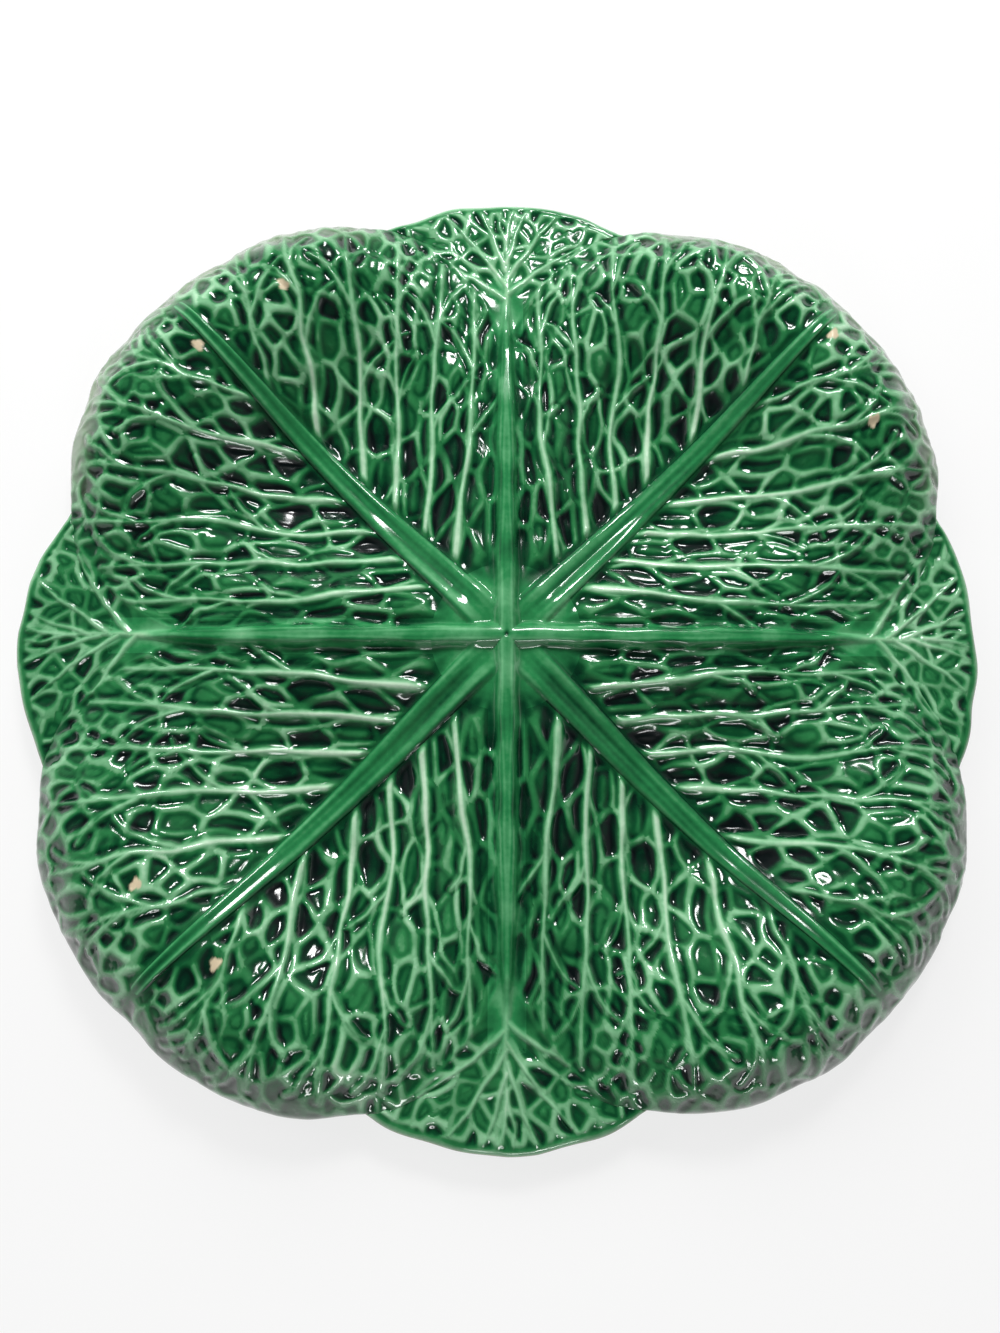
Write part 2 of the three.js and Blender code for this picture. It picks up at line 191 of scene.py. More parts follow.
# Seeds, one for each thing that is drawn at random
LEAF_VEIN_SEED = 20
LEAF_NET_SEED = 21
LEAF_LUMP_SEED = 22
LIP_NET_SEED = 23
LIP_VEIN_SEED = 24
LIP_LUMP_SEED = 25
LEAF_SPUR_SEED = 26
LEAF_WANDER_SEED = 27
LIP_SPUR_SEED = 28
LIP_WANDER_SEED = 29
BLOTCH_SEED = 31
PATCH_SEED = 32
ANY_PHASE = (0, 6)  # radians

# Fineness of the meshes
COARSE = 4  # fine steps of an upper side to one step of its underside
WELL_GRID = (232, 368)
RIM_BAND_ROWS = 64
RIM_ROUND_ROWS = 12
LIP_BAND_ROWS = 80
LIP_COLUMNS = 184
DIVIDER_GRID = (200, 48)
MIDRIB_GRID = (240, 32)
BOSS_GRID = (120, 120)

# Room: its dim light, darker overhead, and the white backdrop round the dish, with shares of straight up
ROOM = (0.19, 0.196, 0.203, 1)
OVERHEAD = (0.04, 0.042, 0.045, 1)
OVERHEAD_FROM, OVERHEAD_FULL = 0.5, 0.92
BACKDROP_TOP = 0.28
BACKDROP_FULL = 0.6 * BACKDROP_TOP
WHITE = (1, 1, 1, 1)


def mix(a, b, t):
    return a + (b - a) * t


def smooth(t):
    c = np.clip(t, 0, 1)
    return c * c * (3 - 2 * c)


def rising(value, start, run):
    """0 up to a start, then smoothly up to 1 a run further on."""
    return smooth((value - start) / run)


def bump(distance, width):
    return np.exp(-((distance / width) ** 2))


def turned(x, y, angle):
    return x * math.cos(angle) - y * math.sin(angle), x * math.sin(angle) + y * math.cos(angle)


# Form of the clay

def leaf_edge(angle):
    return LEAF_REACH - LEAF_SHOULDER * (np.abs(angle) / EIGHTH) ** LEAF_ROUNDNESS


def lip_edge(angle):
    centre = LIP_REACH - LIP_RADIUS
    return centre * np.cos(angle) + np.sqrt(LIP_RADIUS**2 - (centre * np.sin(angle)) ** 2)


def saddle(radius):
    return mix(SADDLE_HEIGHT, EDGE_HEIGHT, smooth(radius / LIP_REACH))


def crest_share(inset):
    roll = 1 - (1 - np.maximum(0, inset) / CREST_INSET) ** 2
    slope = (1 + np.cos(np.pi * np.clip((inset - CREST_INSET) / CREST_FALL, 0, 1))) / 2
    return np.where(inset < CREST_INSET, roll, slope)


def leaf_base(radius, angle):
    """Upper surface of a leaf before any relief."""
    inset = leaf_edge(angle) - radius
    beside = radius * np.sin(EIGHTH - np.abs(angle)) - HALF_DIVIDER
    depth = smooth(beside / DIVIDER_FLANK) * rising(inset, CREST_INSET, WELL_RUN)
    crest = smooth(beside / CREST_GROWTH) * crest_share(inset)
    return mix(saddle(radius), FLOOR_HEIGHT, depth) + (CREST_HEIGHT - EDGE_HEIGHT) * crest


def leaf_bottom(radius, angle):
    turn = 1 / radius
    top = leaf_base(radius, angle)
    outward = (leaf_base(radius + 1, angle) - leaf_base(radius - 1, angle)) / 2
    sideward = (leaf_base(radius, angle + turn) - leaf_base(radius, angle - turn)) / 2
    slope = np.minimum(STEEPEST, np.sqrt(1 + outward**2 + sideward**2))
    inside = smooth((leaf_edge(angle) - radius) / CREST_INSET)
    return np.maximum(0, top - WALL * mix(1, slope, inside))


def side_angle(radius):
    """Angle off the midrib at which a leaf meets its dividers."""
    return EIGHTH - np.arcsin(HALF_DIVIDER / radius)


def column_end(share, inset):
    """Radius at which a column of a leaf's grid comes to an inset from the leaf's edge."""
    radius = LEAF_REACH - inset + 0 * share
    for _ in range(40):
        radius = leaf_edge(share * side_angle(radius)) - inset
    return radius


DIVIDER_END = float(column_end(np.array(1.0), 0.0))


def midrib_half_width(radius):
    return mix(MIDRIB_WIDTH, MIDRIB_TIP_WIDTH, np.clip(radius / MIDRIB_END, 0, 1)) / 2


def midrib_rise(radius):
    return mix(MIDRIB_RISE, MIDRIB_TIP_RISE, np.clip(radius / MIDRIB_END, 0, 1))


def stem_half_width(radius):
    return mix(STEM_HALF_WIDTH, STEM_TIP_HALF_WIDTH, rising(radius, 75, 48))


def stem_rise(radius):
    return mix(DIVIDER_RISE, DIVIDER_TIP_RISE, rising(radius, LEAF_GAP - DIVIDER_FADE, DIVIDER_FADE))


# Veins

class Veins:
    """Tapering raised lines: straight pieces with a half width and a height at each end."""

    def __init__(self):
        self.pieces = []

    def add(self, points, widths, heights):
        ends = list(zip(points, widths, heights))
        self.pieces += zip(ends[:-1], ends[1:])

    def ridge(self, x, y):
        """Height of the veins at each point, and how near the nearest one is in its half widths."""
        best, nearest = np.zeros_like(x), np.full_like(x, 9.0)
        for ((ax, ay), wa, ha), ((bx, by), wb, hb) in self.pieces:
            dx, dy = bx - ax, by - ay
            t = np.clip(((x - ax) * dx + (y - ay) * dy) / (dx * dx + dy * dy), 0, 1)
            far = np.hypot(x - ax - t * dx, y - ay - t * dy) / mix(wa, wb, t)
            flank, foot = smooth(far / VEIN_FLANK), smooth(far / VEIN_FOOT)
            best = np.maximum(best, mix(ha, hb, t) * (1 - mix(flank, foot, VEIN_FOOT_SHARE)))
            nearest = np.minimum(nearest, far)
        return best, nearest


def curved(rng, start, middle, end, steps, wander):
    """Points on a curve between two ends, drawn towards a middle point, with a natural wander."""
    t = np.linspace(0, 1, steps)[:, None]
    start, middle, end = (np.array(p, float) for p in (start, middle, end))
    line = (1 - t) ** 2 * start + 2 * t * (1 - t) * middle + t**2 * end
    along = (end - start) / np.linalg.norm(end - start)
    sway = sum(rng.normal() / k * np.sin(math.pi * k * t + rng.uniform(*ANY_PHASE)) for k in (2, 3, 5, 9))
    return line + wander * sway * np.sin(math.pi * t) * np.array([-along[1], along[0]])


def side_vein_course(rng, side, number):
    """Points on a side vein, from under its midrib out to the leaf's edge."""
    start, end_angle = SIDE_VEIN_STARTS[number] * LEAF_REACH, math.radians(SIDE_VEIN_ENDS[number])
    clear = SIDE_VEIN_WIDTH / 2 + JOINT_GAP
    root = np.array([start, side * (float(midrib_half_width(start)) + clear)])
    reach = float(leaf_edge(end_angle)) - SIDE_VEIN_END_INSET
    tip = np.array([reach * math.cos(end_angle), side * reach * math.sin(end_angle)])
    leaving = math.radians(SIDE_VEIN_LEAVING - SIDE_VEIN_TURN * number)
    way = np.array([math.cos(leaving), side * math.sin(leaving)])
    bend = root + 0.5 * np.linalg.norm(tip - root) * way
    line = curved(rng, root, bend, tip, SIDE_VEIN_STEPS, SIDE_VEIN_WANDER)
    return np.concatenate([[line[0] - 1.6 * clear * way], line])


def add_twigs(veins, rng, line):
    """Finer veins that fork from a side vein, to its right and left by turns."""
    for fork, at in enumerate(TWIG_PLACES):
        n = int(at * len(line)) + int(rng.integers(-1, 2))
        way = line[n + 1] - line[n]
        heading = math.atan2(way[1], way[0]) + (1 if fork % 2 else -1) * rng.uniform(*TWIG_TURN)
        length = rng.uniform(*TWIG_LENGTH) * mix(*TWIG_SHORTENING, at)
        goal = line[n] + length * np.array([math.cos(heading), math.sin(heading)])
        inner = line[n] + 0.55 * length * way / np.linalg.norm(way)
        twig = curved(rng, line[n], mix(inner, goal, 0.45), goal, TWIG_STEPS, TWIG_WANDER)
        share = np.linspace(0, 1, len(twig))
        veins.add(twig, mix(*TWIG_HALF_WIDTH, share), SIDE_VEIN_HEIGHT * mix(*TWIG_HEIGHT, share))


def leaf_veins():
    rng = np.random.default_rng(LEAF_VEIN_SEED)
    veins = Veins()
    finer = len(SIDE_VEIN_STARTS) - 1
    for side in (1, -1):
        for number in range(len(SIDE_VEIN_STARTS)):
            line = side_vein_course(rng, side, number)
            share = np.linspace(0, 1, len(line))
            size = mix(1, SIDE_VEIN_TIP, share) * (FINER_VEIN if number == finer else 1)
            swell = 1 + SIDE_VEIN_SWELL * np.sin(rng.uniform(9, 15) * share + rng.uniform(*ANY_PHASE))
            veins.add(line, SIDE_VEIN_HALF * size * swell, SIDE_VEIN_HEIGHT * size)
            add_twigs(veins, rng, line)
    return veins


class Net:
    """Irregular cells, drawn out along a direction, whose borders are fine veins."""

    SIZES = (0.8, 1.35)  # least and most, as shares of the spacing
    DEPTHS = (0.25, 1)
    SOFTNESS = 1.3  # how sharply two borders that meet are rounded into each other
    THIRD_CELL = 0.7
    LEAST_SLOPE = 0.4
    SCATTER = (12.9898, 78.233)  # turns the numbers of two cells into the strength of their border

    def __init__(self, rng, inside, grain, spacing, low, high, tries):
        kept = []
        places = (rng.uniform(low[0], high[0], tries), rng.uniform(low[1], high[1], tries))
        for x, y, size in zip(*places, rng.uniform(*self.SIZES, tries)):
            if not inside(x, y):
                continue
            direction, stretch = grain(x, y)
            c, s = math.cos(direction), math.sin(direction)
            if kept:
                other = np.array(kept)
                dx, dy = other[:, 0] - x, other[:, 1] - y
                gap = np.hypot((dx * c + dy * s) / stretch, dy * c - dx * s)
                if gap.min() < spacing(x, y) * size:
                    continue
            kept.append((x, y, c, s, stretch))
        self.seeds = np.array(kept)
        self.depths = rng.uniform(*self.DEPTHS, len(kept))

    def cells(self, x, y, chunk=20000):
        """Distance to the nearest border, that border's strength, and the depths of the cells beside it."""
        shape = x.shape
        x, y = x.ravel(), y.ravel()
        found = np.empty((4, len(x)))
        for begin in range(0, len(x), chunk):
            part = slice(begin, begin + chunk)
            found[:, part] = self.cells_of_chunk(x[part, None], y[part, None])
        return found.reshape(4, *shape)

    def cells_of_chunk(self, x, y):
        sx, sy, c, s, stretch = self.seeds.T
        dx, dy = x - sx, y - sy
        along, across = (dx * c + dy * s) / stretch, dy * c - dx * s
        distance = np.hypot(along, across) + 1e-6
        near = np.argpartition(distance, 2, axis=1)[:, :3]
        order = np.argsort(np.take_along_axis(distance, near, 1), axis=1)
        near = np.take_along_axis(near, order, 1)
        nearest = (np.take_along_axis(values, near, 1) for values in (distance, along, across))
        distance, along, across = nearest
        c, s, stretch = c[near], s[near], stretch[near]
        gx = (along * c / stretch - across * s) / distance
        gy = (along * s / stretch + across * c) / distance
        gaps = []
        for other in (1, 2):
            slope = np.hypot(gx[:, other] - gx[:, 0], gy[:, other] - gy[:, 0])
            gaps.append((distance[:, other] - distance[:, 0]) / np.maximum(slope, self.LEAST_SLOPE))
        closeness = np.exp(-self.SOFTNESS * gaps[0]) + self.THIRD_CELL * np.exp(-self.SOFTNESS * gaps[1])
        border = -np.log(closeness) / self.SOFTNESS
        low, high = np.minimum(near[:, 0], near[:, 1]), np.maximum(near[:, 0], near[:, 1])
        strength = np.abs(np.sin(low * self.SCATTER[0] + high * self.SCATTER[1]))
        return border, strength, self.depths[near[:, 0]], self.depths[near[:, 1]]


def leaf_grain(x, y):
    """Which way the net of a leaf is drawn out at a point, and how far."""
    radius, angle = math.hypot(x, y), abs(math.atan2(y, x))
    inner, outer, beside = GRAIN_STRETCH
    near = 1 - float(rising(radius * math.sin(EIGHTH - angle), 4, 26))
    out = float(rising(radius, 60, 100))
    leaving = math.radians(SIDE_VEIN_LEAVING)
    heading = mix(mix(leaving, 0.6 * angle + 0.2, 0.75 * out), EIGHTH, near)
    return math.copysign(heading, y), mix(mix(inner, outer, out), beside, near)


def leaf_spacing(x, y):
    radius = math.hypot(x, y)
    beside = radius * math.sin(EIGHTH - abs(math.atan2(y, x)))
    near = mix(0.78, 1, float(rising(beside, 8, 22)))
    return near * NET_SPACING * mix(1.1, 0.8, float(rising(radius, 70, 90)))


def on_leaf(x, y):
    return 20 < math.hypot(x, y) < LEAF_REACH + 6 and abs(math.atan2(y, x)) < EIGHTH + 0.03


def leaf_net(seed, scale):
    low, high = (15, -128), (LEAF_REACH + 6, 128)
    rng = np.random.default_rng(seed)
    return Net(rng, on_leaf, leaf_grain, lambda x, y: scale * leaf_spacing(x, y), low, high, 9000)


def on_lip(x, y):
    return LIP_APEX - 4 < math.hypot(x, y) < LIP_REACH + 6 and abs(math.atan2(y, x)) < 0.4


def lip_grain(x, y):
    return math.atan2(y, x - LIP_APEX), LIP_NET_STRETCH


def lip_net(seed, spacing):
    rng = np.random.default_rng(seed)
    return Net(rng, on_lip, lip_grain, lambda x, y: spacing, (100, -70), (170, 70), 4000)


def lip_fan():
    """Veins that leave the end of a divider like a fan."""
    rng = np.random.default_rng(LIP_VEIN_SEED)
    veins = Veins()
    share = np.linspace(0, 1, LIP_VEIN_STEPS)
    end = LIP_REACH - LIP_BORDER
    stem = curved(rng, (LIP_APEX - 20, 0), (LIP_APEX + 10, 0.6), (end, -1.5), LIP_VEIN_STEPS, 0.6)
    veins.add(stem, mix(1.5, 0.9, share), LIP_VEIN_HEIGHT * mix(1.1, 0.7, share))
    for start, heading in LIP_FAN:
        root = np.array([LIP_APEX + start, 0.0])
        angle = math.radians(heading)
        length = mix(end - root[0], 34, abs(heading) / 66)
        goal = root + length * np.array([math.cos(angle), math.sin(angle)])
        bend = mix(root, goal, 0.5) + np.array([2.5, 0])
        line = curved(rng, root, bend, goal, LIP_VEIN_STEPS, 0.8)
        veins.add(line, mix(1.3, 0.85, share), LIP_VEIN_HEIGHT * mix(1, 0.7, share))
    return veins


LEAF_VEINS = leaf_veins()
LEAF_NET = leaf_net(LEAF_NET_SEED, 1.0)
LEAF_SPURS = leaf_net(LEAF_SPUR_SEED, SPUR_SPACING)
LIP_NET = lip_net(LIP_NET_SEED, LIP_NET_SPACING)
LIP_SPURS = lip_net(LIP_SPUR_SEED, SPUR_SPACING * LIP_NET_SPACING)
LIP_VEINS = lip_fan()


# Relief: each function works on arrays of points and gives heights and the glaze's thickness there

def waves(x, y, seed_or_rng, length, count=9):
    """A gentle irregular surface between about -1 and 1."""
    rng = np.random.default_rng(seed_or_rng)
    total = 0
    for _ in range(count):
        heading, phase = rng.uniform(0, 2 * math.pi, 2)
        k = 2 * math.pi / (length * rng.uniform(0.7, 1.4))
        total = total + np.sin(k * (x * math.cos(heading) + y * math.sin(heading)) + phase)
    return total / math.sqrt(count)


def wandered(x, y, seed):
    """The same places, moved about so that a net's straight borders come out crooked."""
    rng = np.random.default_rng(seed)
    far = rising(np.hypot(x, y), 30, 60)
    dx = far * (0.9 * waves(x, y, rng, 20) + 0.12 * waves(x, y, rng, 7))
    dy = far * (0.9 * waves(x, y, rng, 20) + 0.12 * waves(x, y, rng, 7))
    return x + dx, y + dy


def cell_relief(net, spurs, x, y, evenness):
    """Fine veins and their paler tone, the pits and puffed cells between them, and the glaze's thickness."""
    border, strength, depth, beyond = net.cells(x, y)
    spur, chance, _, _ = spurs.cells(x, y)
    pit, pit_beyond = rising(depth, PIT_FROM, PIT_RUN), rising(beyond, PIT_FROM, PIT_RUN)
    patch = mix(smooth(0.5 + 0.6 * waves(x, y, PATCH_SEED, 34)), 1, evenness)
    between_puffs, round_pits = 0.25 + 0.35 * strength, 0.6 + 0.4 * strength
    strength = mix(between_puffs, round_pits, np.maximum(pit, pit_beyond)) * mix(0.7, 1, patch)
    faint = SPUR_STRENGTH * rising(chance, 0.8, 0.15) * (1 - 0.6 * pit)
    ridge = np.maximum(
        strength * (1 - smooth(border / (1.7 * NET_HALF_WIDTH))),
        faint * (1 - smooth(spur / (1.6 * NET_HALF_WIDTH))),
    )
    tone = np.maximum(strength * (1 - smooth(border / 1.9)), 0.8 * faint * (1 - smooth(spur / 1.6)))
    floor = CELL_DEPTH * mix(0.25 * rising(border, 1, 3), -rising(border, 0.5, 2.4), pit)
    sunk = rising(border, 0.6, 1.3) * mix(1, 0.72, rising(border, 1.8, 2))
    deep = mix(0.6, 0.88, rising(depth, 0.5, 0.45))
    pool = mix(0.44 + 0.16 * bump(border - 1.7, 0.9), mix(0.44, deep, sunk), pit)
    return ridge, tone, floor, pool


def lip_relief(along, across):
    """Height and glaze thickness of the fan at a divider's end, in the divider's frame."""
    inset = lip_edge(np.arctan2(across, along)) - np.hypot(along, across)
    veins, nearest = LIP_VEINS.ridge(along, across)
    ridge, tone, floor, pool = cell_relief(LIP_NET, LIP_SPURS, *wandered(along, across, LIP_WANDER_SEED), 1)
    edge = rising(inset, 0.5 * LIP_BORDER, 0.6 * LIP_BORDER)
    calm = edge * rising(along, LIP_APEX - 4, 12)
    lumps = waves(along, across, LIP_LUMP_SEED, 13)
    height = edge * np.maximum(veins, 0.9 * NET_HEIGHT * ridge * calm)
    height = height + calm * floor * smooth(nearest / 1.8) + 0.25 * lumps
    pale = np.clip(0.95 * np.maximum(veins / LIP_VEIN_HEIGHT * edge, 0.8 * tone * calm), 0, 1) ** 1.15
    plain = mix(LIP_EDGE_POOL, 0.46 + 0.1 * lumps, rising(inset, 1, 2.5))
    return height, mix(np.clip(mix(plain, pool, calm), 0, 1), LIP_VEIN_POOL, pale)


def fan_width(along):
    """Half the width of the gap between two leaves at a divider's end, where the fan lies."""
    past = np.maximum(0, along - LIP_APEX + 18)
    return 2.5 + 0.2 * past + 0.013 * past**2


def leaf_relief(x, y, radius, inset, off, stem):
    """Height and glaze thickness of a leaf's veins, net, lumps and gutters."""
    rib = midrib_half_width(radius) * smooth((MIDRIB_END + 3 - radius) / 6)
    veins, nearest = LEAF_VEINS.ridge(x, y)
    vein_share = np.clip(veins / SIDE_VEIN_HEIGHT, 0, 1)
    crooked = wandered(x, y, LEAF_WANDER_SEED)
    ridge, tone, floor, pool = cell_relief(LEAF_NET, LEAF_SPURS, *crooked, LEAF_EVENNESS)
    calm = rising(radius, 22, 14) * rising(off, 0.5 * stem, 3) * rising(np.abs(y), rib - 0.5, 3)
    calm = calm * mix(0.5, 1, smooth(inset / 4))
    outer = mix(0.75, 1, rising(inset, 4, 14))
    quiet = mix(0.8, 1, rising(off, 8, 20))
    beside = bump(nearest - 2.2, 0.9)
    lumps = waves(x, y, LEAF_LUMP_SEED, 17)
    gutter = bump(np.abs(y) - rib - 2.2, np.where(y > 0, *GUTTER_REACH)) * smooth((MIDRIB_END - radius) / 20)
    trench = 0.8 * bump(off - stem - 2, 1.9)
    dip = np.maximum(gutter, trench) * rising(radius, 16, 14) * (1 - vein_share)

    pressed = np.maximum(veins, NET_HEIGHT * quiet * ridge) + floor * smooth(nearest / 1.8) - 0.4 * beside
    height = calm * (pressed + 0.45 * lumps) - GUTTER_DEPTH * dip
    pale = np.clip(1.15 * np.maximum(veins / SIDE_VEIN_HEIGHT, 0.74 * quiet * tone), 0, 1) ** 1.15 * calm
    pool = mix(LEAF_POOL, pool + 0.3 * beside, calm * outer)
    pool = np.clip(mix(pool, GUTTER_POOL, 0.75 * dip) - 0.07 * lumps, 0, 1)
    return height, mix(pool, VEIN_POOL, pale)


def with_fan(height, pool, along, off, left, inset):
    """A leaf's height and glaze thickness, given over to the fan of veins at a divider's end."""
    width = fan_width(along)
    fan = smooth((width - off) / 3 + 0.5) * rising(along, LIP_APEX - 22, 8)
    fan_height, fan_pool = lip_relief(along, -left * off)
    hem = bump(off - width, 1.3) * rising(along, LIP_APEX - 16, 10) * smooth(inset / 8)
    height = mix(height, fan_height, fan) + 0.5 * hem
    return height, mix(mix(pool, fan_pool, fan), HEM_POOL, 0.4 * hem)


def with_stem(height, pool, radius, along, off, stem):
    """A leaf's height and glaze thickness with the stem on its divider, and how far the stem covers it."""
    share = np.exp(-1.2 * (off / stem) ** 4) * smooth((LIP_APEX + 2 - radius) / 20)
    even = np.sqrt(off**2 + 0.6)  # so that the two sides of a stem meet without a crease
    grooves = np.sin(2.3 * even + 0.7 * np.sin(radius / 9)) * np.sin(1.1 * even + radius / 23)
    streak = np.sin(4.1 * even + 0.9 * np.sin(radius / 6)) * np.sin(radius / 11 + 2 * even)
    blotch = waves(along, even, BLOTCH_SEED, 17)
    thicker = 0.05 * rising(radius, 30, 60)  # the glaze, away from the middle
    stem_pool = STEM_POOL + 0.08 * grooves + 0.08 * streak + 0.07 * blotch - 0.16 * share + thicker
    cover = smooth(1.5 * share - 0.2)
    return height + (stem_rise(radius) + 0.07 * grooves) * share, mix(pool, stem_pool, cover), cover


def leaf_surface(x, y):
    """Height, glaze thickness and stem share of a leaf's upper side, up to the middle of its dividers."""
    radius, angle = np.hypot(x, y), np.arctan2(y, x)
    left = np.sign(angle)
    inset = leaf_edge(angle) - radius
    off = radius * np.sin(EIGHTH - np.abs(angle))
    along = radius * np.cos(EIGHTH - np.abs(angle))
    stem = stem_half_width(radius) * (1 + 0.13 * np.sin(radius / 9 + 1) * np.sin(radius / 4.7 + left))
    height, pool = leaf_relief(x, y, radius, inset, off, stem)
    height, pool = with_fan(height, pool, along, off, left, inset)
    height, pool, cover = with_stem(height, pool, radius, along, off, stem)
    return leaf_base(radius, np.clip(angle, -EIGHTH, EIGHTH)) + height, pool, cover


def midrib_profile(radius, y):
    """Rise of a midrib above its leaf, a shallow channel, and how far in from its edge a point lies."""
    q = np.clip(np.abs(y) / midrib_half_width(radius), 0, 1)
    return midrib_rise(radius) * (1 - q**5) * mix(0.7, 1, smooth(q / 0.7)), 1 - q


def midrib_pool(radius, y):
    q = np.clip(np.abs(y) / midrib_half_width(radius), 0, 1)
    lines = np.sin(1.9 * y + 0.8 * np.sin(radius / 14)) * np.sin(0.9 * y + radius / 31)
    edge = bump(np.where(y > 0, 0.5, -0.78) - y / midrib_half_width(radius), 0.22)
    return np.clip(MIDRIB_POOL + 0.09 * lines - 0.24 * edge + 0.3 * q**6, 0, 1)


def boss_surface(x, y):
    """Height and glaze thickness in the dish's frame, where each quarter has its own leaf, with the crown."""
    quarter = np.floor(np.arctan2(y, x) / (2 * EIGHTH))
    turn = -(quarter * 2 * EIGHTH + EIGHTH)
    lx, ly = x * np.cos(turn) - y * np.sin(turn), x * np.sin(turn) + y * np.cos(turn)
    height, pool, stem = leaf_surface(lx, ly)
    radius = np.hypot(lx, ly)
    rise, share = midrib_profile(radius, ly)
    merge = rising(radius, 5, 16) * (1 - stem)
    crown = BOSS_RISE * np.clip(1 - (radius / BOSS_RADIUS) ** 2, 0, 1)
    pool = mix(pool, midrib_pool(radius, ly), smooth(4 * share) * merge)
    pinhole = bump(radius, 0.8)
    return height + rise * merge + crown - 0.6 * pinhole, mix(pool, PINHOLE_POOL, pinhole)


# Meshes

def outline_sway(radius, angle):
    """How far the hand-pressed outline draws in from the CAD's round one."""
    sway = 0.6 + 0.35 * np.sin(5 * angle + 1) + 0.3 * np.sin(11 * angle + 2.2) + 0.35 * np.sin(29 * angle)
    sway = sway + 0.25 * np.sin(43 * angle + 1)
    east = 2.2 * bump(np.angle(np.exp(1j * angle)), 0.22)
    west = 1.5 * bump(np.angle(np.exp(1j * (angle - 2.85))), 0.16)
    return (np.maximum(0, sway) + east + west) * rising(radius, 118, 42)


def placed(points, turn):
    """Points turned from a piece's own frame into the dish's frame, with the outline's sway."""
    x, y = turned(points[..., 0], points[..., 1], turn)
    radius, angle = np.hypot(x, y), np.arctan2(y, x)
    keep = 1 - outline_sway(radius, angle) / np.maximum(radius, 1)
    return np.stack([x * keep, y * keep, points[..., 2]], axis=-1)


class Piece:
    """A closed mesh: a fine upper grid with its own normals and a coarser underside."""

    def __init__(self, rows, columns, upper, under):
        steps = (np.arange(-1, count + 2) / count for count in (rows, columns))  # one more at each end
        u, v = np.meshgrid(*steps, indexing="ij")
        x, y, z, masks = upper(u, v)
        grid = np.stack([x, y, z], axis=-1)
        outward = grid[2:, 1:-1] - grid[:-2, 1:-1]
        around = grid[1:-1, 2:] - grid[1:-1, :-2]
        normal = np.cross(outward, around)
        self.normals = normal / np.maximum(np.linalg.norm(normal, axis=-1, keepdims=True), 1e-9)
        self.top = grid[1:-1, 1:-1]
        self.masks = {name: np.broadcast_to(mask, u.shape)[1:-1, 1:-1] for name, mask in masks.items()}
        u, v = u[1:-1:COARSE, 1:-1:COARSE], v[1:-1:COARSE, 1:-1:COARSE]
        self.bottom = np.stack(np.broadcast_arrays(*under(u, v)), axis=-1)

    def faces(self):
        upper = np.arange(self.top[..., 0].size).reshape(self.top.shape[:2])
        lower = upper.size + np.arange(self.bottom[..., 0].size).reshape(self.bottom.shape[:2])
        quads = [
            np.stack([upper[:-1, :-1], upper[1:, :-1], upper[1:, 1:], upper[:-1, 1:]], -1).reshape(-1, 4),
            np.stack([lower[:-1, :-1], lower[:-1, 1:], lower[1:, 1:], lower[1:, :-1]], -1).reshape(-1, 4),
        ]
        tris = []
        sides = (
            (upper[:, 0], lower[:, 0]),
            (upper[-1, :], lower[-1, :]),
            (upper[::-1, -1], lower[::-1, -1]),
            (upper[0, ::-1], lower[0, ::-1]),
        )
        for fine, coarse in sides:
            for n in range(len(coarse) - 1):
                run = fine[n * COARSE : (n + 1) * COARSE + 1]
                tris += [(run[k], coarse[n], run[k + 1]) for k in range(COARSE)]
                tris.append((run[-1], coarse[n], coarse[n + 1]))
        return np.concatenate(quads), np.array(tris)

    def mesh(self, name, turn):
        """The mesh in the dish's frame, whose upper side is shaded by its own normals."""
        top = placed(self.top, turn).reshape(-1, 3)
        points = np.concatenate([top, placed(self.bottom, turn).reshape(-1, 3)])
        quads, tris = self.faces()
        mesh = bpy.data.meshes.new(name)
        mesh.vertices.add(len(points))
        mesh.vertices.foreach_set("co", (points * MM).astype(np.float32).ravel())
        mesh.loops.add(quads.size + tris.size)
        mesh.loops.foreach_set("vertex_index", np.concatenate([quads.ravel(), tris.ravel()]).astype(np.int32))
        starts = np.concatenate([np.arange(len(quads)) * 4, quads.size + np.arange(len(tris)) * 3])
        mesh.polygons.add(len(starts))
        mesh.polygons.foreach_set("loop_start", starts.astype(np.int32))
        mesh.polygons.foreach_set("use_smooth", np.ones(len(starts), bool))
        mesh.update(calc_edges=True)
        normals = np.empty(len(points) * 3, np.float32)
        mesh.vertex_normals.foreach_get("vector", normals)
        normals = normals.reshape(-1, 3)
        nx, ny = turned(self.normals[..., 0], self.normals[..., 1], turn)
        normals[: len(top)] = np.stack([nx, ny, self.normals[..., 2]], -1).reshape(-1, 3)
        mesh.normals_split_custom_set_from_vertices(normals)
        return mesh

    def paint(self, mesh, masks):
        """Writes the masks that the glaze reads, with plain ones on the underside."""
        under = self.bottom.reshape(-1, 3)
        count = len(mesh.vertices) - len(under)
        below = {"pool": UNDERSIDE_POOL, "bare": 1.0 * (under[:, 2] < RESTING_HEIGHT)}
        for name in ("pool", "bare", "worn", "rim_painted_light"):
            values = np.zeros(len(mesh.vertices), np.float32)
            if name in masks:
                values[:count] = np.ravel(masks[name])
            values[count:] = below.get(name, 0)
            mesh.attributes.new(name, "FLOAT", "POINT").data.foreach_set("value", values)

    def build(self, node, turn, material, slot, masks=None):
        """Makes the object that stands for a CAD node."""
        mesh = self.mesh(node, turn)
        self.paint(mesh, masks or self.masks)
        piece = bpy.data.objects.new(node + "_glazed", mesh)
        bpy.context.scene.collection.objects.link(piece)
        mesh.materials.append(material)
        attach(piece, "root")
        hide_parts(node)


def edge_roll(row, band_rows, widest, rounding):
    """How far in from a free edge a row lies, and the angle it has rolled over towards the underside."""
    turn = math.pi * np.clip((row - band_rows) / RIM_ROUND_ROWS, 0, 1.1)
    flat = mix(widest, rounding, row / band_rows)
    return np.where(row <= band_rows, flat, rounding * (1 - np.sin(turn))), turn


